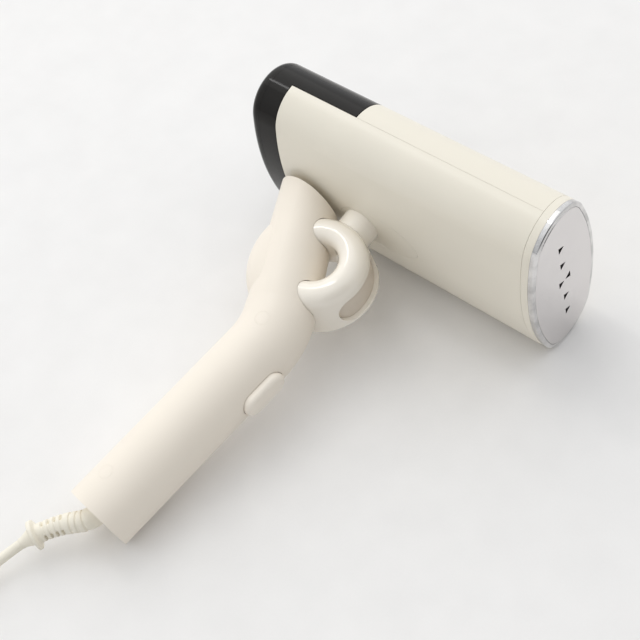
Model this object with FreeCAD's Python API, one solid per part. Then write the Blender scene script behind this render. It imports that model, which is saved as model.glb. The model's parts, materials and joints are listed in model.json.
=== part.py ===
"""Handheld garment steamer with a water tank at the back of its head and a folding handle.

The pieces are modelled in the design frame, then all are turned and shifted together into the row frame:
  design x  along the head, 0 at the face of the steam plate and negative towards the tank
  design y  away from the handle, 0 at the middle of the head's oval section
  design z  along the long axis of the oval section, 0 in the plane that the handle lies in
In the row frame the steamer lies on its side, on one narrow edge of the head and the lower end of the handle.
"""
import FreeCAD, Part
import math
import os
from FreeCAD import Vector

# ---- driving dimensions, mm ----------------------------------------------------------------------
# head: a straight prism with a four-arc oval section
HEAD_HALF_LONG = 52.0       # design z
HEAD_HALF_SHORT = 24.4      # design y
HEAD_END_R = 19.5           # radius of the two narrow edges
WALL = 2.0                  # shell thickness of head, tank and handle
FIT = 0.2                   # gap between neighbouring pieces of one body
RIM_FRONT_X = -0.3          # chrome rim, just behind the face of the plate
RIM_REAR_X = -3.0
PLATE_INSET = 2.4           # edge of the steam plate, inside the rim
VENT_SIZE = 4.6             # side of a three-cornered steam hole
VENT_SPACING = 13.6
BEZEL_REAR_X = -6.9         # cream front bezel
COVER_REAR_X = -111.2       # upper cover ends here and the tank begins
SHELL_REAR_X = -151.6       # lower shell ends here, under the tank
TANK_CAP_X = -163.0         # seam of the tank's bevelled end cap
TANK_REAR_X = -169.7
BOILER_INSET = 5.0
BOILER_FRONT_X, BOILER_REAR_X = -3.2, -27.0
DOCK_X = -110.6             # front face of the bulkhead that the tank slides up to
SPIGOT_Y, SPIGOT_Z = 8.0, -22.0
TANK_FRONT_X = COVER_REAR_X - 0.5
TANK_GAP = 0.4              # between the tank and the deck and lower shell that it slides off
FILLER_X, FILLER_R = -134.0, 9.0
FLAP_X = FILLER_X + 14.5    # hinge pin of the filler flap
FLAP_Y = HEAD_HALF_SHORT + 1.9

# hinge ring on the head, journalled in the neck of the handle; its axis is along design z
RING_X, RING_Y = -103.4, -56.8
RING_INNER_R, RING_OUTER_R = 11.0, 27.0
RING_NEAR_R = 25.4          # the near side of the ring is smaller, so that its outside is a shallow cone
RING_HALF_WIDTH = 13.8
RING_INNER_ROUND = 6.2
RING_NEAR_ROUND, RING_FAR_ROUND = 8.0, 1.2      # the two outer corners of the ring's section
RING_CLEAR = 0.3            # running gap between the ring and its housing
DUCT_WALL = 1.8             # wall between the ring's channel and the handle's hollow
POST_X = -102.4             # short post that carries the ring
POST_R = 9.9
BASE_PLATE_X = -91.8        # middle of the oval plate that the post stands on
INLAY_HALF_WIDTH = 7.6
INLAY_Z = -3.6              # middle of the inlay, nearer to the ring's far edge
INLAY_FROM, INLAY_TO = -55.0, 31.0      # degrees from +x towards the handle
INLAY_FLOOR_R, INLAY_THICK = 23.9, 0.8

# handle: a round tube along three points, with a round housing for the ring behind the neck
GRIP_END = (-110.4, -214.4)
GRIP_BEND = (-100.1, -97.0)
NECK_TOP = (-134.7, -26.0)
GRIP_R = 17.6
NECK_START = 14.0           # above the bend's corner the grip's tube gives way to the neck
# the neck's oval section: distance from the bend's corner, half depth from front to back, half width
NECK_SECTIONS = [(14.0, 17.5, 17.5), (45.0, 16.5, 18.3), (75.0, 16.2, 18.3), (110.0, 16.0, 18.3)]
BEND_R = 45.0
HOUSING_R = 36.8
HOUSING_HALF_WIDTH = 15.9
HOUSING_ROUND = 14.5
HEAD_CLEAR = 3.6            # gap between the cut end of the neck and the head
SCREWS = [(-101.4, -97.2), (-113.0, -197.0)]
CLAMP_Y = -186.0            # clamp on the cord, above the lower screw
CORD_ASIDE = 2.0            # the cord passes the lower screw this far forward of the grip's axis

# trigger button on the front of the grip, its spring and its switch
BUTTON_Y = -121.7
BUTTON_LENGTH, BUTTON_WIDTH = 25.0, 12.2
BUTTON_PROUD = 3.0
BUTTON_ROUND = 2.4
BUTTON_FLANGE = 11.6        # from the grip's axis out to the inner face of the button's flange

# mains cord
CORD_R = 2.5
COIL_MEAN_R = 26.0
COIL_TURNS = 11.44          # four layers of three, the last turn less than half
COIL_HALF_WIDTH = 7.7
COIL_HEIGHT = 20.3
COIL_ROUND = 2.5
COIL_CENTRE = (-88.5, -211.6)
COIL_BOTTOM = 1.2           # the tie under the turns lifts them
TIE_THICK = 1.0
PLUG_HEIGHT = 16.0
# routes in the row frame: relief from the grip's end, cord from the relief, tail from the coil to the plug
RELIEF_ROUTE = [(-36.5, -131.2, 15.4), (-44.3, -141.8, 13.8), (-47.6, -146.9, 13.0)]
CORD_ROUTE = [(-47.6, -146.9, 13.0), (-53.0, -162.8, 9.9), (-55.5, -181.2, 6.7), (-55.6, -201.0, 4.6),
              (-59.7, -223.3, 3.8)]
TAIL_ROUTE = [(-119.6, -213.0, 18.9), (-120.2, -196.6, 16.6), (-124.4, -180.6, 12.0), (-132.6, -167.0, 8.8)]

PARTS = {}                  # node name -> shape in the design frame
CORD_PARTS = {}             # node name -> shape in the row frame


# ---- helpers -------------------------------------------------------------------------------------
def box(x0, x1, y0, y1, z0, z1):
    return Part.makeBox(x1 - x0, y1 - y0, z1 - z0, Vector(x0, y0, z0))


def cylinder(start, axis, radius, height):
    return Part.makeCylinder(radius, height, Vector(*start), Vector(*axis))


def fuse(shapes):
    return shapes[0].multiFuse(shapes[1:]).removeSplitter() if len(shapes) > 1 else shapes[0]


def cut(shape, tools):
    for tool in tools:
        shape = shape.cut(tool)
    return shape


def oval_face(x, inset):
    """The four-arc oval section at x, moved inwards by inset."""
    end_z = HEAD_HALF_LONG - HEAD_END_R
    side_r = (end_z ** 2 + HEAD_HALF_SHORT ** 2 - HEAD_END_R ** 2) / (2 * (HEAD_HALF_SHORT - HEAD_END_R))
    side_y = side_r - HEAD_HALF_SHORT
    end_r = HEAD_END_R - inset
    touch_y = end_r * side_y / (side_r - HEAD_END_R)
    touch_z = end_z + end_r * end_z / (side_r - HEAD_END_R)

    def arc(*points):
        return Part.Arc(*[Vector(x, y, z) for y, z in points]).toShape()

    flat = HEAD_HALF_SHORT - inset
    tip = HEAD_HALF_LONG - inset
    return Part.Face(Part.Wire([
        arc((touch_y, touch_z), (0, tip), (-touch_y, touch_z)),
        arc((-touch_y, touch_z), (-flat, 0), (-touch_y, -touch_z)),
        arc((-touch_y, -touch_z), (0, -tip), (touch_y, -touch_z)),
        arc((touch_y, -touch_z), (flat, 0), (touch_y, touch_z)),
    ]))


def oval_prism(x0, x1, inset):
    return oval_face(x0, inset).extrude(Vector(x1 - x0, 0, 0))


def above(y):
    """Everything further than y from the handle."""
    return box(-300, 100, y, 200, -200, 200)


def below(y):
    return box(-300, 100, -400, y, -200, 200)


def route(points, radii):
    """Straight runs through the points, joined by tangent arcs at the inner points."""
    edges = []
    start = points[0]
    for before, corner, after, radius in zip(points, points[1:], points[2:], radii):
        back = (before - corner).normalize()
        ahead = (after - corner).normalize()
        half_turn = (math.pi - back.getAngle(ahead)) / 2
        reach = radius * math.tan(half_turn)
        arc_start = corner + back * reach
        arc_end = corner + ahead * reach
        centre = corner + (back + ahead).normalize() * (radius / math.cos(half_turn))
        arc_middle = centre + (corner - centre).normalize() * radius
        edges.append(Part.LineSegment(start, arc_start).toShape())
        edges.append(Part.Arc(arc_start, arc_middle, arc_end).toShape())
        start = arc_end
    edges.append(Part.LineSegment(start, points[-1]).toShape())
    return Part.Wire(edges)


def tube(points, radii, radius):
    """A round rod along a route."""
    points = [Vector(*point) for point in points]
    section = Part.Wire(Part.makeCircle(radius, points[0], points[1] - points[0]).Edges)
    return route(points, radii).makePipeShell([section], True, False)


def fitted_radii(points):
    """For each inner point, 0.45 of the shorter run beside it over the tangent of half the turn."""
    points = [Vector(*point) for point in points]
    radii = []
    for before, corner, after in zip(points, points[1:], points[2:]):
        half_turn = (math.pi - (before - corner).getAngle(after - corner)) / 2
        shorter = min(before.distanceToPoint(corner), corner.distanceToPoint(after))
        radii.append(0.45 * shorter / math.tan(half_turn))
    return radii


def ring_body(grow):
    """The hinge ring, every face moved outwards by grow: a section with four rounded corners, revolved."""
    r0, near_r, far_r = RING_INNER_R - grow, RING_NEAR_R + grow, RING_OUTER_R + grow
    half_width = RING_HALF_WIDTH + grow
    inner_round = RING_INNER_ROUND + grow
    near_round, far_round = RING_NEAR_ROUND + grow, RING_FAR_ROUND + grow
    across = (near_r - near_round) - (far_r - far_round)
    along = 2 * half_width - near_round - far_round
    toward_near = math.atan2(along, across)
    turn = math.acos((far_round - near_round) / math.hypot(across, along))
    cone = math.degrees(toward_near - turn)

    def corner(r, z, radius, start, end):
        middle = (start + end) / 2
        points = [Vector(RING_X + r + radius * math.cos(math.radians(a)), RING_Y,
                         z + radius * math.sin(math.radians(a))) for a in (start, middle, end)]
        return points, Part.Arc(*points).toShape()

    corners = [
        corner(near_r - near_round, half_width - near_round, near_round, cone, 90),
        corner(r0 + inner_round, half_width - inner_round, inner_round, 90, 180),
        corner(r0 + inner_round, -half_width + inner_round, inner_round, 180, 270),
        corner(far_r - far_round, -half_width + far_round, far_round, 270, 360 + cone),
    ]
    edges = []
    for (points, arc), (next_points, next_arc) in zip(corners, corners[1:] + corners[:1]):
        edges.append(arc)
        if points[2].distanceToPoint(next_points[0]) > 1e-6:
            edges.append(Part.LineSegment(points[2], next_points[0]).toShape())
    return Part.Face(Part.Wire(edges)).revolve(Vector(RING_X, RING_Y, 0), Vector(0, 0, 1), 360)


def washer(centre, axis, outer, inner, height):
    return cylinder(centre, axis, outer, height).cut(cylinder(centre, axis, inner, height))


def polar(radius, degrees, z=0.0):
    """A point about the hinge axis, its angle counted from +x towards the handle."""
    angle = math.radians(degrees)
    return Vector(RING_X + radius * math.cos(angle), RING_Y - radius * math.sin(angle), z)


def sector(r0, r1, half_width, start, end):
    """A piece of a flat ring about the hinge axis, its angles counted from +x towards the handle."""
    ring = cylinder((RING_X, RING_Y, -half_width), (0, 0, 1), r1, 2 * half_width)
    ring = ring.cut(cylinder((RING_X, RING_Y, -half_width), (0, 0, 1), r0, 2 * half_width))
    reach = 3 * r1
    rays = [Vector(RING_X, RING_Y, -half_width)]
    for i in range(5):
        point = polar(reach, start + (end - start) * i / 4.0)
        rays.append(Vector(point.x, point.y, -half_width))
    wedge = Part.Face(Part.makePolygon(rays + rays[:1])).extrude(Vector(0, 0, 2 * half_width))
    return ring.common(wedge)


# ---- grip frame: 'out' is forward from the grip's axis, 'down' runs along it to the cord ---------
DOWN = Vector(GRIP_END[0] - GRIP_BEND[0], GRIP_END[1] - GRIP_BEND[1], 0).normalize()
OUT = Vector(-DOWN.y, DOWN.x, 0)
NECK_UP = Vector(NECK_TOP[0] - GRIP_BEND[0], NECK_TOP[1] - GRIP_BEND[1], 0).normalize()
NECK_FRONT = Vector(NECK_UP.y, -NECK_UP.x, 0)


def grip_point(y, out=0.0, z=0.0):
    """The point at 'out' from the grip's axis, where the axis crosses y."""
    along = (y - GRIP_BEND[1]) / DOWN.y
    point = Vector(GRIP_BEND[0], GRIP_BEND[1], z) + DOWN * along + OUT * out
    return point


def grip_box(y, out0, out1, along, width):
    """A box in the grip: from out0 to out1, centred at y along the grip."""
    block = Part.makeBox(along, out1 - out0, width, Vector(-along / 2, out0, -width / 2))
    centre = grip_point(y)
    block.Placement = FreeCAD.Placement(
        centre, FreeCAD.Rotation(DOWN, OUT, Vector(0, 0, 1), "XYZ")).multiply(block.Placement)
    return block


def capsule(y, out0, out1, length, width):
    """A pad with round ends, lying along the grip, from out0 to out1."""
    half = (length - width) / 2
    middle = grip_box(y, out0, out1, 2 * half, width)
    ends = []
    for side in (-1, 1):
        foot = grip_point(y, out0) + DOWN * (half * side)
        ends.append(Part.makeCylinder(width / 2, out1 - out0, foot, OUT))
    return fuse([middle] + ends)


# ---- head ----------------------------------------------------------------------------------------
def vent(y, z, size, points_away):
    """A three-cornered steam hole; its apex points away from the handle or towards it."""
    height = size * math.sqrt(3) / 2
    sign = 1 if points_away else -1
    corners = [Vector(-10, y + sign * height / 2, z),
               Vector(-10, y - sign * height / 2, z - size / 2),
               Vector(-10, y - sign * height / 2, z + size / 2)]
    return Part.Face(Part.makePolygon(corners + corners[:1])).extrude(Vector(20, 0, 0))


def steam_plate():
    plate = oval_prism(RIM_REAR_X, 0, PLATE_INSET)
    front = [edge for edge in plate.Edges if edge.BoundBox.XMin > -0.01]
    plate = plate.makeFillet(0.6, front)
    singles = [vent(0, side * VENT_SPACING, VENT_SIZE, True) for side in (-2, -1, 1, 2)]
    pair = [vent(-2.4, 0, VENT_SIZE, True), vent(2.4, 0, VENT_SIZE, False)]
    PARTS["steam_plate"] = cut(plate, singles + pair)


def front_trim():
    rim = oval_prism(RIM_REAR_X, RIM_FRONT_X, 0)
    outer = [edge for edge in rim.Edges if edge.BoundBox.XMin > RIM_FRONT_X - 0.01]
    rim = rim.makeFillet(0.8, outer)
    PARTS["plate_rim"] = rim.cut(oval_prism(-5, 5, PLATE_INSET - 0.1))
    bezel = oval_prism(BEZEL_REAR_X, RIM_REAR_X - 0.1, 0)
    lip = oval_prism(BEZEL_REAR_X - 4.0, BEZEL_REAR_X, WALL + FIT)
    PARTS["front_bezel"] = fuse([bezel, lip]).cut(oval_prism(-20, 5, 4.4))


def base_plate_blank(grow):
    """An upright oval block through the head's wall under the post, reaching further forward than back."""
    half_length, half_width = 24.0 + grow, 13.0 + grow
    middle = Vector(BASE_PLATE_X, -40, 0)
    outline = Part.Wire(Part.Ellipse(middle, half_length, half_width).toShape())
    outline.rotate(middle, Vector(1, 0, 0), 90)
    return Part.Face(outline).extrude(Vector(0, 40, 0))


def head_shells():
    front_x = BEZEL_REAR_X - 0.15
    hollow = oval_prism(-200, 0, WALL)
    lower = oval_prism(SHELL_REAR_X, front_x, 0).cut(hollow).common(below(0))
    PARTS["lower_shell"] = lower.cut(base_plate_blank(0.15))
    upper = oval_prism(COVER_REAR_X, front_x, 0).cut(hollow).common(above(0.1))
    PARTS["upper_cover"] = upper
    plate = lower.common(base_plate_blank(0))
    PARTS["post_base_plate"] = plate.cut(cylinder((POST_X, -60, 0), (0, 1, 0), POST_R + 0.05, 60))


def hinge_ring():
    ring = ring_body(0)
    post = cylinder((POST_X, RING_Y + RING_OUTER_R - 6, 0), (0, 1, 0), POST_R, 15.4)
    flange = cylinder((POST_X, -21.4, 0), (0, 1, 0), 13.5, 2.4)
    wire_bore = cylinder((POST_X, RING_Y, 0), (0, 1, 0), 4.0, 60)
    PARTS["hinge_post"] = fuse([post, flange]).cut(ring).cut(wire_bore)
    recess = inlay_blank(INLAY_FLOOR_R, RING_OUTER_R + 5, 0)
    PARTS["hinge_ring"] = ring.cut(recess)
    PARTS["ring_inlay"] = inlay_blank(INLAY_FLOOR_R + 0.03, INLAY_FLOOR_R + INLAY_THICK, -0.12)


def inlay_blank(r0, r1, grow):
    """A strip with round ends wrapped about the hinge axis."""
    half = INLAY_HALF_WIDTH + grow
    end_turn = math.degrees(INLAY_HALF_WIDTH / RING_OUTER_R)
    strip = sector(r0, r1, half, INLAY_FROM + end_turn, INLAY_TO - end_turn)
    shell = sector(r0, r1, half + 5, INLAY_FROM - 20, INLAY_TO + 20)
    ends = []
    for degrees in (INLAY_FROM + end_turn, INLAY_TO - end_turn):
        middle = Vector(RING_X, RING_Y, 0)
        ends.append(Part.makeCylinder(half, 40, middle, polar(40, degrees) - middle).common(shell))
    blank = fuse([strip] + ends)
    blank.translate(Vector(0, 0, INLAY_Z))
    return blank


def boiler():
    front, rear = BOILER_FRONT_X, BOILER_REAR_X
    body = oval_prism(rear, front, BOILER_INSET)
    chamber = oval_prism(-16, 0, BOILER_INSET + 5)
    element_r = 3.2
    element_x = rear - element_r - 0.05
    element_path = [(element_x, -8, 30), (element_x, -8, -36), (element_x, 8, -36), (element_x, 8, 30)]
    element = tube(element_path, [7.8, 7.8], element_r)
    inlet = cylinder((rear - 6, 0, 20), (1, 0, 0), 3.0, 20)
    inlet_bore = cylinder((rear - 7, 0, 20), (1, 0, 0), 1.6, 30)
    PARTS["boiler_body"] = cut(fuse([body, inlet]), [chamber, inlet_bore])
    PARTS["heating_element"] = element
    gasket = oval_prism(-3.2, -3.05, BOILER_INSET + 0.5).cut(oval_prism(-10, 0, BOILER_INSET + 4))
    PARTS["boiler_gasket"] = gasket
    PARTS["thermostat"] = fuse([cylinder((rear - 0.1, 0, -8), (-1, 0, 0), 4.2, 7.5),
                                cylinder((rear - 6.8, 0, -8), (-1, 0, 0), 6.5, 5)])
    PARTS["thermal_fuse"] = fuse([cylinder((rear - 2.4, 0, 2), (0, 0, 1), 2.2, 11),
                                  cylinder((rear - 2.4, 0, 0), (0, 0, 1), 0.5, 15)])
    shield_x = -46.0
    shield = oval_prism(shield_x, shield_x + 0.8, 4.5)
    pipe_hole = cylinder((shield_x - 5, 0, 20), (1, 0, 0), 4.5, 20)
    wire_hole = cylinder((shield_x - 5, 0, -20), (1, 0, 0), 4.0, 20)
    PARTS["heat_shield"] = cut(shield, [pipe_hole, wire_hole])
    feet = []
    for y, z in ((-14.4, 22), (14.4, 22), (-14.4, -22), (14.4, -22)):
        feet.append(cylinder((shield_x + 0.8, y, z), (1, 0, 0), 2.0, rear - shield_x - 0.8))
    PARTS["shield_standoffs"] = Part.makeCompound(feet)


def pump_and_pipes():
    pump_x = -84.0
    motor = cylinder((pump_x, 8, 0), (1, 0, 0), 10.0, 26)
    head = box(pump_x - 10, pump_x, -4, 19, -11, 11)
    PARTS["water_pump"] = fuse([motor, head])
    outlet = [(pump_x - 5, 8, 11), (pump_x - 5, 8, 20), (pump_x + 8, 2, 24), (pump_x + 30, 0, 20),
              (BOILER_REAR_X - 6.2, 0, 20)]
    PARTS["outlet_tube"] = tube(outlet, fitted_radii(outlet), 2.4)
    inlet = [(pump_x - 5, SPIGOT_Y, -11), (pump_x - 5, SPIGOT_Y, SPIGOT_Z),
             (DOCK_X + 4.2, SPIGOT_Y, SPIGOT_Z)]
    PARTS["inlet_tube"] = tube(inlet, [7.5], 2.4)


def tank_dock():
    """The deck and bulkhead that close the shell under and in front of the tank."""
    slab = above(-2.3).common(below(-0.4))
    deck = oval_prism(SHELL_REAR_X + 0.4, DOCK_X + 2, WALL + FIT).common(slab)
    bulkhead = oval_prism(DOCK_X, DOCK_X + 2, WALL + FIT).common(above(-2.3))
    rear = oval_prism(SHELL_REAR_X + 0.4, SHELL_REAR_X + 2.4, WALL + FIT).common(below(-0.4))
    spigot_hole = cylinder((DOCK_X - 5, SPIGOT_Y, SPIGOT_Z), (1, 0, 0), 3.6, 20)
    PARTS["tank_dock"] = fuse([deck, bulkhead, rear]).cut(spigot_hole)
    spigot = cylinder((DOCK_X - 7, SPIGOT_Y, SPIGOT_Z), (1, 0, 0), 3.5, 11)
    collar = cylinder((DOCK_X + 2, SPIGOT_Y, SPIGOT_Z), (1, 0, 0), 5.0, 2)
    bore = cylinder((DOCK_X - 8, SPIGOT_Y, SPIGOT_Z), (1, 0, 0), 1.8, 20)
    PARTS["dock_spigot"] = fuse([spigot, collar]).cut(bore)
    PARTS["dock_seal"] = washer((DOCK_X - 1.3, SPIGOT_Y, SPIGOT_Z), (1, 0, 0), 5.5, 3.5, 1.3)


def head_wires():
    """From the post: live to the thermostat, neutral round to one end of the heating element."""
    live = [(POST_X, -18, -2), (POST_X, -12, -4), (-80, -11, -18), (-60, -4, -21), (-50, -2, -21),
            (-43, -2, -21), (-43, -1, -9), (-38.9, -1, -9)]
    neutral = [(POST_X, -18, 2), (POST_X, -10, 5), (-78, -13, 10), (-60, -6, -12), (-51, 1, -18.5),
               (-42, 1, -18.5), (-42, 8, -6), (-42, 8, 36), (-30.3, 8, 36), (-30.3, 8, 30.1)]
    PARTS["heater_wire_live"] = tube(live, fitted_radii(live), 0.9)
    PARTS["heater_wire_neutral"] = tube(neutral, fitted_radii(neutral), 0.9)


# ---- water tank ----------------------------------------------------------------------------------
def water_tank():
    outline = oval_prism(TANK_CAP_X + 0.05, TANK_FRONT_X, 0)
    low_front = SHELL_REAR_X - TANK_GAP
    outer = outline.common(fuse([above(TANK_GAP), box(-300, low_front, -100, TANK_GAP, -200, 200)]))
    inner = oval_prism(TANK_CAP_X - 5, TANK_FRONT_X - WALL, WALL)
    keep = fuse([above(TANK_GAP + WALL), box(-300, low_front - WALL, -100, TANK_GAP + WALL, -200, 200)])
    inner = inner.common(keep)
    port = cylinder((TANK_FRONT_X - 10, SPIGOT_Y, SPIGOT_Z), (1, 0, 0), 3.9, 20)
    seal_room = cylinder((TANK_FRONT_X - 1.0, SPIGOT_Y, SPIGOT_Z), (1, 0, 0), 6.0, 5)
    port_boss = cylinder((TANK_FRONT_X - 12, SPIGOT_Y, SPIGOT_Z), (1, 0, 0), 7.2, 11)
    filler = cylinder((FILLER_X, 5, 0), (0, 1, 0), FILLER_R, 40)
    shell = fuse([outer.cut(inner), port_boss])
    PARTS["water_tank"] = cut(shell, [port, seal_room, filler])

    cap = oval_prism(TANK_REAR_X, TANK_CAP_X - 0.05, 0)
    rear_edges = [edge for edge in cap.Edges if edge.BoundBox.XMax < TANK_REAR_X + 0.01]
    cap = cap.makeFillet(5.0, rear_edges)
    hollow = oval_prism(TANK_REAR_X + WALL, TANK_CAP_X + 5, WALL)
    inner_edges = [edge for edge in hollow.Edges if edge.BoundBox.XMax < TANK_REAR_X + WALL + 0.01]
    PARTS["tank_end_cap"] = cap.cut(hollow.makeFillet(3.2, inner_edges))

    valve_x = TANK_FRONT_X - 12
    PARTS["tank_valve"] = fuse([cylinder((valve_x - 3, SPIGOT_Y, SPIGOT_Z), (1, 0, 0), 5.4, 2.95),
                                cylinder((valve_x - 6, SPIGOT_Y, SPIGOT_Z), (1, 0, 0), 3.0, 3)])
    foot_x = SHELL_REAR_X - 7
    pickup = [(valve_x - 6, SPIGOT_Y, SPIGOT_Z), (foot_x, SPIGOT_Y, SPIGOT_Z), (foot_x, -18, SPIGOT_Z)]
    PARTS["pickup_tube"] = tube(pickup, fitted_radii(pickup), 1.8)


def filler_flap():
    """A soft plug with a strap, hinged at the front of the filler hole."""
    top_y = HEAD_HALF_SHORT
    plug = cylinder((FILLER_X, top_y - 3.6, 0), (0, 1, 0), FILLER_R - 1.1, 3.9)
    lid = cylinder((FILLER_X, top_y + 0.3, 0), (0, 1, 0), FILLER_R + 1.4, 1.8)
    strap = box(FILLER_X + 8, FILLER_X + 13.5, top_y + 0.3, top_y + 1.6, -3.5, 3.5)
    tab = box(FILLER_X - 14, FILLER_X - 8, top_y + 0.5, top_y + 1.7, -3, 3)
    knuckle = cylinder((FLAP_X, FLAP_Y, -3.5), (0, 0, 1), 1.5, 7)
    bore = cylinder((FLAP_X, FLAP_Y, -5), (0, 0, 1), 0.75, 10)
    PARTS["filler_plug"] = fuse([plug, lid, strap, tab, knuckle]).cut(bore)
    pin = cylinder((FLAP_X, FLAP_Y, -6.5), (0, 0, 1), 0.7, 13)
    ears = [box(FLAP_X - 1.6, FLAP_X + 1.6, top_y - 1.0, top_y + 3.2, z, z + 2) for z in (-6.0, 4.0)]
    PARTS["flap_pin"] = pin
    PARTS["flap_ears"] = Part.makeCompound([ear.cut(cylinder((FLAP_X, FLAP_Y, -8), (0, 0, 1), 0.71, 16))
                                            for ear in ears])
    seats = Part.makeCompound(ears)
    PARTS["water_tank"] = PARTS["water_tank"].cut(seats)


# ---- handle --------------------------------------------------------------------------------------
def handle_blank(inset, end_inset):
    """The outside of the handle moved inwards: grip and neck, with the ring's round housing behind them."""
    end = Vector(*GRIP_END, 0) - DOWN * end_inset
    bend = Vector(*GRIP_BEND, 0)
    neck_start = bend + NECK_UP * NECK_START
    grip = tube([tuple(end), tuple(bend), tuple(neck_start)], [BEND_R], GRIP_R - inset)
    sections = []
    for along, half_depth, half_width in NECK_SECTIONS:
        centre = bend + NECK_UP * along
        ellipse = Part.Ellipse(Vector(0, 0, 0), half_width - inset, half_depth - inset).toShape()
        ellipse.Placement = FreeCAD.Placement(
            centre, FreeCAD.Rotation(Vector(0, 0, 1), NECK_FRONT, NECK_UP, "XYZ"))
        sections.append(Part.Wire(ellipse))
    stem = grip.fuse(Part.makeLoft(sections, True, False))
    housing = cylinder((RING_X, RING_Y, -HOUSING_HALF_WIDTH + inset), (0, 0, 1), HOUSING_R - inset,
                       2 * (HOUSING_HALF_WIDTH - inset))
    rims = [edge for edge in housing.Edges if edge.Curve.TypeId == "Part::GeomCircle"]
    housing = housing.makeFillet(HOUSING_ROUND - inset, rims)
    behind = Part.makeBox(120, 80, 80, Vector(-60, -80, -40))
    behind.Placement = FreeCAD.Placement(
        bend + NECK_UP * 20,
        FreeCAD.Rotation(NECK_UP, NECK_FRONT, Vector(0, 0, 1), "XYZ")).multiply(behind.Placement)
    return stem.fuse(housing.common(behind))


def handle_shells():
    head_room = oval_prism(-300, 50, -HEAD_CLEAR)
    channel = ring_body(RING_CLEAR)
    lining = ring_body(RING_CLEAR + DUCT_WALL)
    outer = handle_blank(0, 0).cut(head_room)
    hollow = handle_blank(WALL + 0.2, -5).cut(oval_prism(-300, 50, -HEAD_CLEAR - WALL)).cut(lining)
    shell = outer.cut(hollow).cut(channel)

    bosses = []
    tools = [capsule(BUTTON_Y, 8, 30, BUTTON_LENGTH + 0.7, BUTTON_WIDTH + 0.7)]
    screws = []
    plugs = []
    for x, y in SCREWS:
        pillar = fuse([cylinder((x, y, -14), (0, 0, 1), 3.4, 29), cylinder((x, y, 9), (0, 0, 1), 4.6, 8)])
        bosses.append(pillar.common(outer))
        tools.append(cylinder((x, y, -10), (0, 0, 1), 1.55, 22))
        tools.append(cylinder((x, y, 11), (0, 0, 1), 3.5, 20))
        screws.append(fuse([cylinder((x, y, -9.5), (0, 0, 1), 1.5, 20.6),
                            cylinder((x, y, 11.1), (0, 0, 1), 2.9, 2.2)]))
        plugs.append(cylinder((x, y, 13.6), (0, 0, 1), 3.45, 15).common(outer))
    shell = cut(fuse([shell] + bosses), [channel] + tools)
    PARTS["handle_shell_near"] = main_solid(shell.common(box(-300, 100, -400, 100, 0, 100)))
    PARTS["handle_shell_far"] = main_solid(shell.common(box(-300, 100, -400, 100, -100, 0)))
    PARTS["handle_screws"] = Part.makeCompound(screws)
    PARTS["screw_plug_upper"], PARTS["screw_plug_lower"] = plugs


def main_solid(shape):
    """The largest solid, without loose slivers."""
    return max(shape.Solids, key=lambda solid: solid.Volume)


def handle_end():
    foot = Vector(*GRIP_END, 0)
    disc = Part.makeCylinder(GRIP_R - WALL - 0.4, 2.4, foot - DOWN * 3.4, DOWN)
    hole = Part.makeCylinder(5.5, 20, foot - DOWN * 10, DOWN)
    PARTS["handle_end_cap"] = disc.cut(hole)
    clamp = grip_box(CLAMP_Y, -6.0, 6.0, 8.0, 28.0)
    groove = Part.makeCylinder(CORD_R, 60, foot - DOWN * 50 + OUT * CORD_ASIDE, DOWN)
    PARTS["cord_clamp"] = clamp.cut(groove)


# ---- button, switch and board --------------------------------------------------------------------
def steam_button():
    top = GRIP_R + BUTTON_PROUD
    pad = capsule(BUTTON_Y, BUTTON_FLANGE, top, BUTTON_LENGTH, BUTTON_WIDTH)
    face = [edge for edge in pad.Edges
            if min((v.Point - grip_point(BUTTON_Y)).dot(OUT) for v in edge.Vertexes) > top - 0.01]
    pad = pad.makeFillet(BUTTON_ROUND, face)
    flange = capsule(BUTTON_Y, BUTTON_FLANGE, BUTTON_FLANGE + 1.2, BUTTON_LENGTH + 3, BUTTON_WIDTH + 3)
    stem = Part.makeCylinder(1.6, 2.2, grip_point(BUTTON_Y, BUTTON_FLANGE - 2.2), OUT)
    PARTS["steam_button"] = fuse([pad, flange, stem])
    spring = Part.makeHelix(1.7, BUTTON_FLANGE - 4.6, 3.4)
    section = Part.Wire(Part.makeCircle(0.35, Vector(3.4, 0, 0), Vector(0, 1, 0)).Edges)
    coil = Part.Wire(spring.Edges).makePipeShell([section], True, True)
    coil.Placement = FreeCAD.Placement(grip_point(BUTTON_Y, 2.2 + 1.0),
                                       FreeCAD.Rotation(Vector(0, 0, 1), OUT))
    PARTS["button_spring"] = coil
    PARTS["trigger_switch"] = fuse([grip_box(BUTTON_Y, 1.7, 2.6, 12, 12),
                                    grip_box(BUTTON_Y, 2.6, 5.2, 3.6, 3.6),
                                    Part.makeCylinder(1.3, 1.4, grip_point(BUTTON_Y, 5.2), OUT)])
    PARTS["control_board"] = grip_box(BUTTON_Y - 14, 0.1, 1.7, 62, 22)
    PARTS["board_relay"] = grip_box(BUTTON_Y - 32, 1.7, 10.0, 18, 13)


def handle_wires():
    for name, side in (("handle_wire_live", -1), ("handle_wire_neutral", 1)):
        points = [tuple(grip_point(-179.0, CORD_ASIDE, side * 1.4)), tuple(grip_point(-172.0, 0, side * 2.0)),
                  tuple(grip_point(-150.0, -7, side * 5.0)), tuple(grip_point(-120.0, -6, side * 4.0)),
                  tuple(grip_point(-104.5, -8, side * 8.2))]
        PARTS[name] = tube(points, fitted_radii(points), 0.9)


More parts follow.
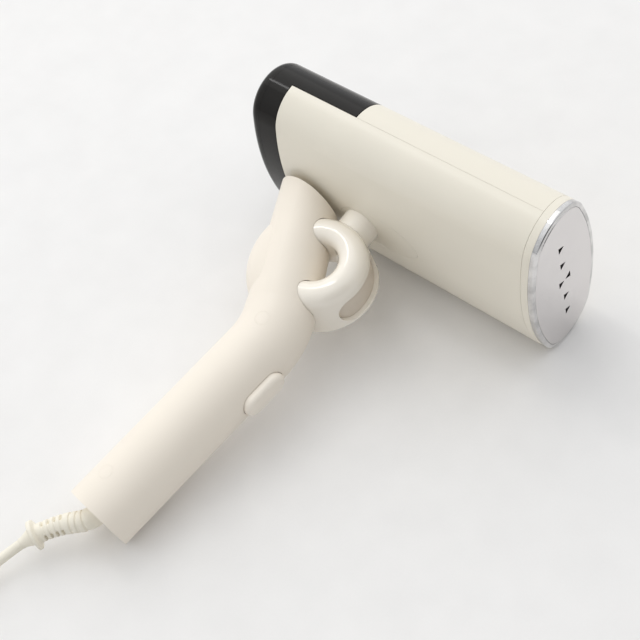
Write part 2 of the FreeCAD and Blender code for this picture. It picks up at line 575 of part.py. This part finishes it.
def friction_shoe():
    """A sprung shoe in the housing that rubs on the ring and holds the handle where it is folded."""
    middle = 155.0
    shoe = sector(RING_NEAR_R - 2.0, RING_OUTER_R + 4.0, 5.0, middle - 14, middle + 14)
    PARTS["friction_shoe"] = main_solid(shoe.cut(ring_body(0.08)))
    PARTS["shoe_spring"] = sector(RING_OUTER_R + 4.0, RING_OUTER_R + 4.6, 4.0, middle - 12, middle + 12)
    room = sector(RING_NEAR_R - 1.5, RING_OUTER_R + 4.9, 5.3, middle - 15, middle + 15)
    for name in ("handle_shell_near", "handle_shell_far"):
        PARTS[name] = main_solid(PARTS[name].cut(room))


# ---- row frame -----------------------------------------------------------------------------------
def lean_degrees():
    """The turn about the head's axis that lets one narrow edge and the grip's end both touch the floor."""
    across = HEAD_HALF_LONG - HEAD_END_R - GRIP_R
    reach = -GRIP_END[1]
    return math.degrees(math.acos(-HEAD_END_R / math.hypot(across, reach)) - math.atan2(reach, across))


def into_row_frame(shape, shift):
    turned = shape.copy()
    turned.rotate(Vector(0, 0, 0), Vector(1, 0, 0), lean_degrees())
    turned.translate(shift)
    return turned


def row_shift():
    """The shift that puts the middle of the object's box at x = y = 0 and its lowest point at z = 0."""
    turned = Part.makeCompound([into_row_frame(shape, Vector(0, 0, 0)) for shape in PARTS.values()])
    bounds = turned.optimalBoundingBox(False, False)
    return Vector(-(bounds.XMin + bounds.XMax) / 2, -(bounds.YMin + bounds.YMax) / 2, -bounds.ZMin)


def row_point(point, shift):
    vertex = into_row_frame(Part.Vertex(point), shift)
    return tuple(vertex.Point)


# ---- strain relief, cord, coil and plug, in the row frame ----------------------------------------
def strain_relief(shift):
    foot = Vector(*GRIP_END, 0)
    points = [row_point(foot - DOWN * 8, shift), row_point(foot + DOWN * 4, shift)] + RELIEF_ROUTE
    print("relief radii", [round(radius, 1) for radius in fitted_radii(points)])
    body = tube(points, fitted_radii(points), 5.2)
    flange_axis = Vector(*points[-1]) - Vector(*points[-2])
    flange = Part.makeCylinder(6.5, 1.8, Vector(*points[-2]), flange_axis)
    collar_axis = Vector(*points[1]) - Vector(*points[0])
    collar = Part.makeCylinder(7.5, 1.6, Vector(*points[0]), collar_axis)
    CORD_PARTS["strain_relief"] = fuse([body, flange, collar])
    inner = [row_point(foot + DOWN * along + OUT * aside, shift)
             for along, aside in ((-5, 0), (-10, 0), (-16, CORD_ASIDE), (-35, CORD_ASIDE))]
    CORD_PARTS["cord_inner_end"] = tube(inner, fitted_radii(inner), CORD_R)


def coil_section(grow):
    """The coil's section, in the plane through its axis, moved outwards by grow."""
    half = COIL_HALF_WIDTH + grow
    section = Part.makeBox(2 * half, 1, COIL_HEIGHT + 2 * grow,
                           Vector(COIL_CENTRE[0] + COIL_MEAN_R - half, COIL_CENTRE[1], COIL_BOTTOM - grow))
    upright = [edge for edge in section.Edges if edge.BoundBox.YLength > 0.5]
    rounded = section.makeFillet(COIL_ROUND + grow, upright)
    return [face for face in rounded.Faces if face.BoundBox.YMax < COIL_CENTRE[1] + 0.01][0]


def coil_and_tie():
    middle = Vector(COIL_CENTRE[0], COIL_CENTRE[1], 0)
    coil = coil_section(0).revolve(middle, Vector(0, 0, 1), 360)
    tie_angle = 22.0
    outer = coil_section(TIE_THICK + 0.1).revolve(middle, Vector(0, 0, 1), tie_angle)
    inner = coil_section(0.1).revolve(middle, Vector(0, 0, 1), tie_angle)
    tie = outer.cut(inner)
    tie.rotate(middle, Vector(0, 0, 1), -120)
    CORD_PARTS["cord_coil"] = coil
    CORD_PARTS["cord_tie"] = tie


def mains_plug():
    """A flat two-blade plug lying on the floor."""
    start = Vector(TAIL_ROUTE[-1][0], TAIL_ROUTE[-1][1], PLUG_HEIGHT / 2)
    heading = Vector(*TAIL_ROUTE[-1]) - Vector(*TAIL_ROUTE[-2])
    heading = Vector(heading.x, heading.y, 0).normalize()
    side = Vector(-heading.y, heading.x, 0)
    turn = FreeCAD.Placement(start, FreeCAD.Rotation(heading, side, Vector(0, 0, 1), "XYZ"))
    sleeve = Part.makeCone(3.6, 5.0, 12.5, Vector(0, 0, 0), Vector(1, 0, 0))
    body = Part.makeBox(24, 24, PLUG_HEIGHT, Vector(12, -12, -PLUG_HEIGHT / 2))
    body = body.makeFillet(3.5, body.Edges)
    plug = fuse([body, sleeve])
    blades = [Part.makeBox(18, 1.5, 6.4, Vector(35.9, side_y - 0.75, -3.2)) for side_y in (-6.35, 6.35)]
    plug.Placement = turn
    CORD_PARTS["mains_plug"] = plug
    for name, blade in zip(("plug_blade_a", "plug_blade_b"), blades):
        blade.Placement = turn.multiply(blade.Placement)
        CORD_PARTS[name] = blade.cut(plug)


def cord():
    for name, points in (("cord_run", CORD_ROUTE), ("cord_tail", TAIL_ROUTE)):
        radii = fitted_radii(points)
        path = route([Vector(*point) for point in points], radii)
        CORD_PARTS[name] = tube(points, radii, CORD_R)
        print(name, "radii", [round(radius, 1) for radius in radii], "length %.1f" % path.Length,
              "volume %.0f of %.0f" % (CORD_PARTS[name].Volume, math.pi * CORD_R ** 2 * path.Length))
    print("coil length %.0f" % (COIL_TURNS * 2 * math.pi * COIL_MEAN_R))


def main():
    steam_plate()
    front_trim()
    head_shells()
    hinge_ring()
    boiler()
    pump_and_pipes()
    tank_dock()
    head_wires()
    water_tank()
    filler_flap()
    handle_shells()
    handle_end()
    steam_button()
    handle_wires()
    friction_shoe()
    shift = row_shift()
    print("lean %.4f degrees, shift %.3f %.3f %.3f" % (lean_degrees(), shift.x, shift.y, shift.z))
    strain_relief(shift)
    coil_and_tie()
    mains_plug()
    cord()
    os.makedirs("parts", exist_ok=True)
    placed = {name: into_row_frame(shape, shift) for name, shape in PARTS.items()}
    placed.update(CORD_PARTS)
    for name, shape in placed.items():
        shape.exportStep("parts/" + name + ".step")
        if not shape.isValid() or shape.Volume < 0.5:
            print("CHECK", name, shape.isValid(), shape.Volume)


main()
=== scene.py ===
"""Handheld garment steamer lying open on its side on a pale floor.

Lengths are in metres and places are in the row frame: +X out of the steam plate, +Y away from the
lower end of the handle, +Z up from the floor.
"""
import json
import math

import bmesh
import bpy
from mathutils import Matrix, Vector


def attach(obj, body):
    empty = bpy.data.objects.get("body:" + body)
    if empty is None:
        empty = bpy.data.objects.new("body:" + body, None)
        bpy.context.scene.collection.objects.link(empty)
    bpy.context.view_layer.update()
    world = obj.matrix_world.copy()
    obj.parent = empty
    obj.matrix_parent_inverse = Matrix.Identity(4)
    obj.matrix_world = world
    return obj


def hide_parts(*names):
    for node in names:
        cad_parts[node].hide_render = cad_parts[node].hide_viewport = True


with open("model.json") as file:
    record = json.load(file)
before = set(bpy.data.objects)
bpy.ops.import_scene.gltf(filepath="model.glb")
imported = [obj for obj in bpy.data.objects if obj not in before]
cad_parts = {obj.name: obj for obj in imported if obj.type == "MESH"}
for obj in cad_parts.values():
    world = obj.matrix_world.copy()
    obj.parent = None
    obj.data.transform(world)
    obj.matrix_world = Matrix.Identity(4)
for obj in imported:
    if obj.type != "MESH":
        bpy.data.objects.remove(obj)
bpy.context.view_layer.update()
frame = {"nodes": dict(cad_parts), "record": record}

NODES = frame["nodes"]
MM = 0.001


# ---- camera, floor and light ---------------------------------------------------------------------
CAMERA_PLACE = Vector((0.26518, -0.20386, 0.49832))
CAMERA_TARGET = Vector((-0.00091, 0.01575, 0.040))
CAMERA_ROLL = math.radians(-12.53)
CAMERA_LENS = 67.5                      # mm
SENSOR_WIDTH = 36.0                     # mm


def add_camera():
    camera = bpy.data.objects.new("camera", bpy.data.cameras.new("camera"))
    bpy.context.scene.collection.objects.link(camera)
    camera.data.lens = CAMERA_LENS
    camera.data.sensor_width = SENSOR_WIDTH
    forward = (CAMERA_TARGET - CAMERA_PLACE).normalized()
    level_right = forward.cross(Vector((0, 0, 1))).normalized()
    level_up = level_right.cross(forward)
    right = level_right * math.cos(CAMERA_ROLL) + level_up * math.sin(CAMERA_ROLL)
    up = level_up * math.cos(CAMERA_ROLL) - level_right * math.sin(CAMERA_ROLL)
    turn = Matrix((right, up, -forward)).transposed().to_4x4()
    camera.matrix_world = Matrix.Translation(CAMERA_PLACE) @ turn
    bpy.context.scene.camera = camera


def add_area_light(name, place, target, size, power, colour):
    light = bpy.data.lights.new(name, "AREA")
    light.shape = "RECTANGLE"
    light.size, light.size_y = size
    light.energy = power
    light.color = colour
    lamp = bpy.data.objects.new(name, light)
    bpy.context.scene.collection.objects.link(lamp)
    lamp.location = place
    lamp.rotation_euler = (Vector(target) - Vector(place)).to_track_quat("-Z", "Y").to_euler()


BRIGHT_SIDE = Vector((-0.50, 0.25, 0.83)).normalized()      # the studio's brighter wall and ceiling
DARK_SIDE = Vector((0.87, -0.30, 0.36)).normalized()        # the unlit part that the steam plate mirrors
DARK_STRENGTH = 0.12
WORLD_DIM, WORLD_BRIGHT = 0.50, 1.14
KEY_POWER = 2.6
STRIP_POWER = 0.9           # a slim tube that puts a crisp line on glossy pieces


def add_studio():
    """Soft light from the left and above, in a room that is darker on the steam plate's side."""
    world = bpy.data.worlds.new("studio")
    world.use_nodes = True
    nodes, links = world.node_tree.nodes, world.node_tree.links
    background = nodes["Background"]
    background.inputs["Color"].default_value = (0.97, 0.985, 1.0, 1)
    direction = nodes.new("ShaderNodeTexCoord")

    def toward(side, low, high, dim, bright):
        dot = nodes.new("ShaderNodeVectorMath")
        dot.operation = "DOT_PRODUCT"
        dot.inputs[1].default_value = side
        links.new(direction.outputs["Generated"], dot.inputs[0])
        fade = nodes.new("ShaderNodeMapRange")
        fade.interpolation_type = "SMOOTHSTEP"
        fade.inputs["From Min"].default_value = low
        fade.inputs["From Max"].default_value = high
        fade.inputs["To Min"].default_value = dim
        fade.inputs["To Max"].default_value = bright
        links.new(dot.outputs["Value"], fade.inputs["Value"])
        return fade.outputs["Result"]

    strength = nodes.new("ShaderNodeMath")
    strength.operation = "MULTIPLY"
    links.new(toward(BRIGHT_SIDE, -0.5, 1.0, WORLD_DIM, WORLD_BRIGHT), strength.inputs[0])
    links.new(toward(DARK_SIDE, 0.80, 0.94, 1.0, DARK_STRENGTH), strength.inputs[1])
    links.new(strength.outputs["Value"], background.inputs["Strength"])
    bpy.context.scene.world = world
    bpy.context.scene.view_settings.view_transform = "Standard"
    add_area_light("key", (-0.85, 0.45, 1.05), (0, 0, 0), (1.3, 1.3), KEY_POWER, (1.0, 0.985, 0.955))
    add_area_light("strip", (-0.45, 0.10, 1.05), (0, 0, 0), (0.08, 0.60), STRIP_POWER, (1.0, 1.0, 1.0))


FLOOR_HALF = 3.0


def add_floor():
    mesh = bpy.data.meshes.new("floor")
    corners = [(x * FLOOR_HALF, y * FLOOR_HALF, 0) for x, y in ((-1, -1), (1, -1), (1, 1), (-1, 1))]
    mesh.from_pydata(corners, [], [(0, 1, 2, 3)])
    floor = bpy.data.objects.new("floor", mesh)
    bpy.context.scene.collection.objects.link(floor)
    mesh.materials.append(surface("floor_paper", (0.86, 0.845, 0.83), 0.85, grain=0.03, grain_size=1.2))


# ---- materials -----------------------------------------------------------------------------------
def surface(name, colour, roughness, metallic=0.0, coat=0.0, mottle_and_painted_reflection=0.02, mottle_and_reflection_size=25.0, grain=0.0,
            grain_size=0.5, smudge=0.12, smudge_size=9.0, stretch=(1, 1, 1), sheen=0.0, see_through=0.0,
            specular=0.5, scuffs=0.0):
    """A worn moulded or metal surface. Sizes and depths are in mm.

    mottle_and_painted_reflection: slow change of tone, and on the chrome rim a painted reflection, bright and
    dark streaks in place of the room mirrored there; smudge: uneven gloss from handling; grain: the fine
    relief of mould, casting or brushing, drawn out along the axes where stretch is small; scuffs: hairline
    marks that catch the light.
    """
    material = bpy.data.materials.new(name)
    material.use_nodes = True
    nodes, links = material.node_tree.nodes, material.node_tree.links
    shader = nodes["Principled BSDF"]
    shader.inputs["Metallic"].default_value = metallic
    shader.inputs["Coat Weight"].default_value = coat
    shader.inputs["Coat Roughness"].default_value = 0.06
    shader.inputs["Sheen Weight"].default_value = sheen
    shader.inputs["Transmission Weight"].default_value = see_through
    shader.inputs["Specular IOR Level"].default_value = specular
    place = nodes.new("ShaderNodeTexCoord")

    def noise(size, detail, scale=(1, 1, 1), distortion=0.0):
        mapping = nodes.new("ShaderNodeMapping")
        mapping.inputs["Scale"].default_value = [axis / (size * MM) for axis in scale]
        links.new(place.outputs["Object"], mapping.inputs["Vector"])
        texture = nodes.new("ShaderNodeTexNoise")
        texture.inputs["Scale"].default_value = 1.0
        texture.inputs["Detail"].default_value = detail
        texture.inputs["Distortion"].default_value = distortion
        links.new(mapping.outputs["Vector"], texture.inputs["Vector"])
        return texture.outputs["Fac"]

    def remap(value, low, high, start, end):
        node = nodes.new("ShaderNodeMapRange")
        node.inputs["From Min"].default_value = low
        node.inputs["From Max"].default_value = high
        node.inputs["To Min"].default_value = start
        node.inputs["To Max"].default_value = end
        links.new(value, node.inputs["Value"])
        return node.outputs["Result"]

    def combine(operation, first, second):
        node = nodes.new("ShaderNodeMath")
        node.operation = operation
        links.new(first, node.inputs[0])
        links.new(second, node.inputs[1])
        return node.outputs["Value"]

    fine = noise(grain_size, 3, stretch)
    # Base colour follows the slow mottle and the fine grain; on the chrome rim the strong mottle is a painted
    # reflection, bright and dark streaks standing in for the mirrored room.
    shade = combine("ADD", remap(noise(mottle_and_reflection_size, 2), 0.3, 0.7, 0.0, 0.7), remap(fine, 0.3, 0.7, 0.0, 0.3))
    tint = nodes.new("ShaderNodeMix")
    tint.data_type = "RGBA"
    tint.inputs["A"].default_value = (*[channel * (1 - mottle_and_painted_reflection) for channel in colour], 1)
    tint.inputs["B"].default_value = (*[min(1, channel * (1 + mottle_and_painted_reflection)) for channel in colour], 1)
    links.new(shade, tint.inputs["Factor"])
    links.new(tint.outputs["Result"], shader.inputs["Base Color"])

    handled = remap(noise(smudge_size, 4, distortion=0.6), 0.3, 0.7,
                    roughness * (1 - smudge), roughness * (1 + smudge))
    gloss = combine("ADD", handled, remap(fine, 0.2, 0.8, -0.04 * roughness, 0.04 * roughness))
    if scuffs:
        marks = remap(noise(0.9, 2, (1, 0.06, 0.06)), 0.66, 0.74, 0.0, scuffs)
        gloss = combine("ADD", gloss, marks)
    links.new(gloss, shader.inputs["Roughness"])
    if grain:
        relief = nodes.new("ShaderNodeBump")
        relief.inputs["Strength"].default_value = 0.5
        relief.inputs["Distance"].default_value = grain * MM
        links.new(fine, relief.inputs["Height"])
        links.new(relief.outputs["Normal"], shader.inputs["Normal"])
    return material


SLOT_SURFACES = {
    "head_ivory": dict(colour=(0.83, 0.78, 0.67), roughness=0.32, grain=0.006, grain_size=0.35, mottle_and_painted_reflection=0.012,
                       smudge=0.06, scuffs=0.02),
    "ring_ivory": dict(colour=(0.93, 0.87, 0.77), roughness=0.14, coat=0.7, grain=0.004, grain_size=2.5,
                       mottle_and_painted_reflection=0.012, smudge=0.08, scuffs=0.02),
    "handle_ivory": dict(colour=(0.89, 0.815, 0.71), roughness=0.44, grain=0.014, grain_size=0.35,
                         mottle_and_painted_reflection=0.015, smudge=0.10),
    "button_ivory": dict(colour=(0.91, 0.84, 0.74), roughness=0.40, grain=0.010, grain_size=0.35,
                         smudge=0.25),
    "inlay_grey": dict(colour=(0.71, 0.63, 0.53), roughness=0.55, grain=0.020, grain_size=0.30, mottle_and_painted_reflection=0.04),
    "tank_smoke": dict(colour=(0.013, 0.011, 0.009), roughness=0.10, see_through=0.3, specular=0.09,
                       mottle_and_painted_reflection=0.10, mottle_and_reflection_size=12, scuffs=0.04),
    "polished_plate": dict(colour=(0.73, 0.705, 0.70), roughness=0.20, metallic=1.0, grain=0.002,
                           grain_size=0.4, stretch=(1, 1, 0.04), smudge=0.35, smudge_size=14, mottle_and_painted_reflection=0.03),
    # The chrome rim's strong, small mottle is a painted reflection: streaks of bright and dark tone in place
    # of the room mirrored in the rim.
    "chrome_rim": dict(colour=(0.66, 0.65, 0.645), roughness=0.06, metallic=1.0, mottle_and_painted_reflection=0.30, mottle_and_reflection_size=8,
                       smudge=0.4, scuffs=0.05),
    "cast_aluminium": dict(colour=(0.55, 0.56, 0.57), roughness=0.5, metallic=1.0, grain=0.08, grain_size=0.8,
                           mottle_and_painted_reflection=0.10, mottle_and_reflection_size=6),
    "steel": dict(colour=(0.56, 0.56, 0.56), roughness=0.28, metallic=1.0, grain=0.004, grain_size=0.4,
                  stretch=(1, 0.05, 1), smudge=0.3),
    "grey_rubber": dict(colour=(0.16, 0.16, 0.155), roughness=0.62, grain=0.02, sheen=0.1, mottle_and_painted_reflection=0.08),
    "clear_silicone": dict(colour=(0.70, 0.70, 0.66), roughness=0.30, see_through=0.4, mottle_and_painted_reflection=0.05),
    "dark_plastic": dict(colour=(0.022, 0.022, 0.024), roughness=0.42, grain=0.015, mottle_and_painted_reflection=0.15),
    "inner_white": dict(colour=(0.70, 0.70, 0.67), roughness=0.5, grain=0.012),
    "board_green": dict(colour=(0.02, 0.09, 0.035), roughness=0.35, coat=0.3, grain=0.03, grain_size=1.2,
                        stretch=(1, 0.15, 1), mottle_and_painted_reflection=0.35, mottle_and_reflection_size=3),
    "wire_brown": dict(colour=(0.10, 0.03, 0.012), roughness=0.4, grain=0.008, mottle_and_painted_reflection=0.08),
    "wire_blue": dict(colour=(0.02, 0.05, 0.25), roughness=0.4, grain=0.008, mottle_and_painted_reflection=0.08),
    "cord_ivory": dict(colour=(0.89, 0.84, 0.72), roughness=0.42, grain=0.012, grain_size=0.7, mottle_and_painted_reflection=0.03,
                       mottle_and_reflection_size=12, smudge=0.2),
    "tie_ivory": dict(colour=(0.62, 0.60, 0.53), roughness=0.9, grain=0.25, grain_size=0.5, sheen=0.6,
                      mottle_and_painted_reflection=0.12, mottle_and_reflection_size=2),
}


def dress_cad_nodes():
    made = {slot: surface(slot, **look) for slot, look in SLOT_SURFACES.items()}
    for part in frame["record"]["subparts"]:
        mesh = NODES[part["node"]].data
        mesh.materials.clear()
        mesh.materials.append(made[part["material_slot"]])
    return made


# ---- mesh helpers --------------------------------------------------------------------------------
def add_loft(name, rings, material, body, replaced, closed=False):
    """A skin over rings of equal point count, its ends capped unless the loft is closed on itself."""
    mesh = bmesh.new()
    loops = [[mesh.verts.new(point) for point in ring] for ring in rings]
    following = loops[1:] + (loops[:1] if closed else [])
    for near, far in zip(loops, following):
        for i in range(len(near)):
            j = (i + 1) % len(near)
            mesh.faces.new((near[i], near[j], far[j], far[i]))
    if not closed:
        mesh.faces.new(loops[0][::-1])
        mesh.faces.new(loops[-1])
    bmesh.ops.recalc_face_normals(mesh, faces=mesh.faces)
    data = bpy.data.meshes.new(name)
    mesh.to_mesh(data)
    mesh.free()
    data.materials.append(material)
    data.shade_smooth()
    piece = bpy.data.objects.new(name, data)
    bpy.context.scene.collection.objects.link(piece)
    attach(piece, body)
    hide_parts(replaced)
    return piece


def smoothed_line(points, steps):
    """Evenly spaced points, and the directions there, read from an order 3 NURBS spline."""
    curve = bpy.data.curves.new("line", "CURVE")
    curve.dimensions = "3D"
    curve.resolution_u = 40
    spline = curve.splines.new("NURBS")
    spline.points.add(len(points) - 1)
    for spline_point, place in zip(spline.points, points):
        spline_point.co = (*place, 1)
    spline.order_u = 3
    spline.use_endpoint_u = True
    holder = bpy.data.objects.new("line", curve)
    mesh = bpy.data.meshes.new_from_object(holder)
    places = [vertex.co.copy() for vertex in mesh.vertices]
    bpy.data.objects.remove(holder)
    bpy.data.meshes.remove(mesh)
    bpy.data.curves.remove(curve)
    reach = [0.0]
    for near, far in zip(places, places[1:]):
        reach.append(reach[-1] + (far - near).length)
    line = []
    k = 0
    for i in range(steps + 1):
        want = reach[-1] * i / steps
        while k < len(places) - 2 and reach[k + 1] < want:
            k += 1
        share = (want - reach[k]) / (reach[k + 1] - reach[k])
        line.append((places[k].lerp(places[k + 1], share), (places[k + 1] - places[k]).normalized(), want))
    return line


def smooth_step(value, low, high):
    share = min(1.0, max(0.0, (value - low) / (high - low)))
    return share * share * (3 - 2 * share)


# ---- cord ----------------------------------------------------------------------------------------
CORD_RADIUS = 0.0025
CORD_EXIT = (-0.0476, -0.1469, 0.0130)
CORD_ROUTE = [CORD_EXIT, (-0.0530, -0.1628, 0.0099), (-0.0555, -0.1812, 0.0067), (-0.0556, -0.2010, 0.0046)]
TAIL_ROUTE = [(-0.1202, -0.1966, 0.0166), (-0.1244, -0.1806, 0.0120), (-0.1326, -0.1670, 0.0088)]
COIL_CENTRE = (-0.0885, -0.2116)
COIL_MEAN_RADIUS = 0.0260
COIL_START = math.radians(-22.0)
COIL_TURNS = 11.44
COIL_COLUMNS = 3
COIL_FIRST_HEIGHT = 0.0037
COIL_STEP = 0.00508                     # from one turn to the next
POINTS_PER_TURN = 16


def coil_points():
    """Layers of three turns side by side, wound from the outer bottom turn to the outer top one."""
    points = []
    tighten = 1 / math.cos(math.pi / POINTS_PER_TURN)
    count = round(COIL_TURNS * POINTS_PER_TURN)
    for i in range(count + 1):
        turns = i / POINTS_PER_TURN
        ring = int(turns)
        step = max(0.0, (turns - ring - 0.75) / 0.25)
        column, layer = coil_slot(ring)
        next_column, next_layer = coil_slot(ring + 1)
        column += (next_column - column) * step
        layer += (next_layer - layer) * step
        radius = (COIL_MEAN_RADIUS + (1 - column) * COIL_STEP) * tighten
        angle = COIL_START - 2 * math.pi * turns
        points.append((COIL_CENTRE[0] + radius * math.cos(angle),
                       COIL_CENTRE[1] + radius * math.sin(angle), COIL_FIRST_HEIGHT + layer * COIL_STEP))
    return points


def coil_slot(ring):
    layer = ring // COIL_COLUMNS
    column = ring % COIL_COLUMNS
    if layer % 2:
        column = COIL_COLUMNS - 1 - column
    return column, layer


def add_cord(material):
    curve = bpy.data.curves.new("mains_cord", "CURVE")
    curve.dimensions = "3D"
    curve.bevel_depth = CORD_RADIUS
    curve.bevel_resolution = 6
    curve.use_fill_caps = True
    curve.resolution_u = 6
    points = CORD_ROUTE + coil_points() + TAIL_ROUTE
    spline = curve.splines.new("NURBS")
    spline.points.add(len(points) - 1)
    for spline_point, place in zip(spline.points, points):
        spline_point.co = (*place, 1)
    spline.order_u = 3
    spline.use_endpoint_u = True
    curve.materials.append(material)
    cord = bpy.data.objects.new("mains_cord", curve)
    bpy.context.scene.collection.objects.link(cord)
    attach(cord, "handle")
    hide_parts("cord_run", "cord_coil", "cord_tail")


# ---- strain relief -------------------------------------------------------------------------------
RELIEF_ROUTE = [(-0.02485, -0.11046, 0.01864), (-0.0275, -0.1212, 0.01673), (-0.0380, -0.1301, 0.0154),
                (-0.0453, -0.1408, 0.0138), (-0.0476, -0.1469, 0.0130), (-0.0483, -0.1489, 0.0126)]
RELIEF_STEPS = 210
RELIEF_SIDES = 64
RELIEF_RADIUS = 5.2
RELIEF_CORE = 1.4           # radius inside a slot
RIB_STARTS = [13.0, 16.2, 19.4]         # shallow grooves near the handle, mm from the inner end
RIB_DEPTH = 0.55
GROOVE_DEPTH = 0.35         # of a slotted groove, between its slots
NOSE_START_RADIUS = 4.3
SLOT_STARTS = [23.4, 26.5, 29.6, 32.7]
SLOT_LENGTH = 1.5
SLOTS_ROUND = 3
RELIEF_SLOT_TURN = 60       # degrees
FLANGE_FROM, FLANGE_TO = 37.4, 40.4
FLANGE_RADIUS = 7.4
NOSE_RADIUS = 2.75


def relief_radius(along, angle, length):
    """Radius in mm at a distance along the relief and an angle round it; each groove has deep slots."""
    taper = 0.5 * smooth_step(along, 12, 36)
    radius = RELIEF_RADIUS - taper
    for start in RIB_STARTS:
        dip = smooth_step(along, start, start + 0.35) * (1 - smooth_step(along, start + 0.9, start + 1.25))
        radius -= RIB_DEPTH * dip
    deep = math.cos(SLOTS_ROUND * (angle - math.radians(RELIEF_SLOT_TURN)))
    for start in SLOT_STARTS:
        dip = smooth_step(along, start, start + 0.25)
        dip *= 1 - smooth_step(along, start + SLOT_LENGTH - 0.25, start + SLOT_LENGTH)
        depth = smooth_step(deep, 0.1, 0.55)
        radius -= (GROOVE_DEPTH + (radius - RELIEF_CORE - GROOVE_DEPTH) * depth) * dip
    if along > FLANGE_FROM - 0.6:
        rise = smooth_step(along, FLANGE_FROM - 0.6, FLANGE_FROM + 0.7)
        fall = smooth_step(along, FLANGE_TO - 0.9, FLANGE_TO + 0.5)
        narrowing = smooth_step(along, FLANGE_TO - 0.5, length - 0.8)
        nose = NOSE_START_RADIUS + (NOSE_RADIUS - NOSE_START_RADIUS) * narrowing
        radius = radius + (FLANGE_RADIUS - radius) * rise
        radius = radius + (nose - radius) * fall
    return radius


def add_strain_relief(material):
    line = smoothed_line(RELIEF_ROUTE, RELIEF_STEPS)
    length = line[-1][2] / MM
    rings = []
    for place, heading, along in line:
        side = heading.cross(Vector((0, 0, 1))).normalized()
        up = side.cross(heading)
        ring = []
        for i in range(RELIEF_SIDES):
            angle = 2 * math.pi * i / RELIEF_SIDES
            radius = relief_radius(along / MM, angle, length) * MM
            ring.append(place + side * (radius * math.cos(angle)) + up * (radius * math.sin(angle)))
        rings.append(ring)
    add_loft("strain_relief_sleeve", rings, material, "handle", "strain_relief")
    print("relief length %.1f mm" % length)


# ---- plug and tie --------------------------------------------------------------------------------
PLUG_START = (-0.1326, -0.1670, 0.0080)
PLUG_HEADING = Vector((-0.0082, 0.0136, 0)).normalized()
PLUG_LENGTH = 36.0          # mm
PLUG_NECK_RADIUS = 3.6
PLUG_STEPS = 120
PLUG_SIDES = 72


def plug_section(along):
    """Half width, half height in mm, and squareness of the plug's section at a distance from its cord end."""
    grow = smooth_step(along, 10.5, 17.0)
    close = smooth_step(along, 33.5, PLUG_LENGTH)
    flare = 1.2 * along / 12 * (1 - grow)
    wide = PLUG_NECK_RADIUS + flare + 8.3 * grow - 2.2 * close
    high = PLUG_NECK_RADIUS + flare + 4.3 * grow - 2.0 * close
    if along < 11:
        ridge = 0.35 * max(0.0, math.sin(2 * math.pi * along / 2.6))
        wide -= ridge
        high -= ridge
    if 19 < along < 31:
        grip = 0.45 * max(0.0, math.sin(2 * math.pi * (along - 19) / 2.4))
        wide -= grip + 0.7 * math.sin(math.pi * (along - 19) / 12)
    return wide, high, 2 + 3 * grow


def add_plug(material):
    side = Vector((-PLUG_HEADING.y, PLUG_HEADING.x, 0))
    up = Vector((0, 0, 1))
    rings = []
    for step in range(PLUG_STEPS + 1):
        along = PLUG_LENGTH * step / PLUG_STEPS
        wide, high, power = plug_section(along)
        ring = []
        for i in range(PLUG_SIDES):
            angle = 2 * math.pi * i / PLUG_SIDES
            c, s = math.cos(angle), math.sin(angle)
            across = math.copysign(abs(c) ** (2 / power), c) * wide * MM
            rise = math.copysign(abs(s) ** (2 / power), s) * high * MM
            ring.append(Vector(PLUG_START) + PLUG_HEADING * (along * MM) + side * across + up * rise)
        rings.append(ring)
    add_loft("plug_body", rings, material, "handle", "mains_plug")


TIE_TURN = math.radians(-109.0)
TIE_HALF_WIDTH = 5.0
TIE_THICK = 0.9
TIE_LOW, TIE_HIGH = 0.0010, 0.0222      # inner face of the band, below and above the turns
TIE_REACH = 0.0085                      # from the turns' mean radius to the band, inwards and outwards
TIE_CORNER = 0.0035


def add_tie(material):
    """A hook-and-loop band round the turns, its free end lapped over and lifting a little."""
    low, high, corner = TIE_LOW, TIE_HIGH, TIE_CORNER
    inner, outer = COIL_MEAN_RADIUS - TIE_REACH, COIL_MEAN_RADIUS + TIE_REACH
    outward = Vector((math.cos(TIE_TURN), math.sin(TIE_TURN), 0))
    across = Vector((-outward.y, outward.x, 0))
    middle = Vector((*COIL_CENTRE, 0))
    corners = [(outer - corner, high - corner, 90, 0), (outer - corner, low + corner, 0, -90),
               (inner + corner, low + corner, -90, -180), (inner + corner, high - corner, 180, 90)]
    path = [(inner + 0.002, high - 0.0002), (COIL_MEAN_RADIUS, high)]
    for radius, height, start, end in corners:
        for i in range(9):
            angle = math.radians(start + (end - start) * i / 8)
            path.append((radius + corner * math.cos(angle), height + corner * math.sin(angle)))
    lap = TIE_THICK * MM * 1.05
    path += [(inner + corner + 0.003, high + lap), (COIL_MEAN_RADIUS + 0.002, high + lap),
             (COIL_MEAN_RADIUS + 0.005, high + lap * 1.1), (COIL_MEAN_RADIUS + 0.007, high + lap * 1.5)]
    rings = []
    for i, (radius, height) in enumerate(path):
        before, after = path[max(i - 1, 0)], path[min(i + 1, len(path) - 1)]
        heading = Vector((after[0] - before[0], after[1] - before[1])).normalized()
        normal = (-heading.y, heading.x)
        ring = []
        for half in (-1, 1):
            for level in (0, 1):
                layer = level if half < 0 else 1 - level
                shift = layer * TIE_THICK * MM
                point = middle + outward * (radius + normal[0] * shift)
                point += across * (half * TIE_HALF_WIDTH * MM)
                ring.append(point + Vector((0, 0, height + normal[1] * shift)))
        rings.append(ring)
    add_loft("tie_band", rings, material, "handle", "cord_tie")


add_camera()
add_studio()
materials = dress_cad_nodes()
add_floor()
add_strain_relief(materials["cord_ivory"])
add_plug(materials["cord_ivory"])
add_tie(materials["tie_ivory"])
add_cord(materials["cord_ivory"])
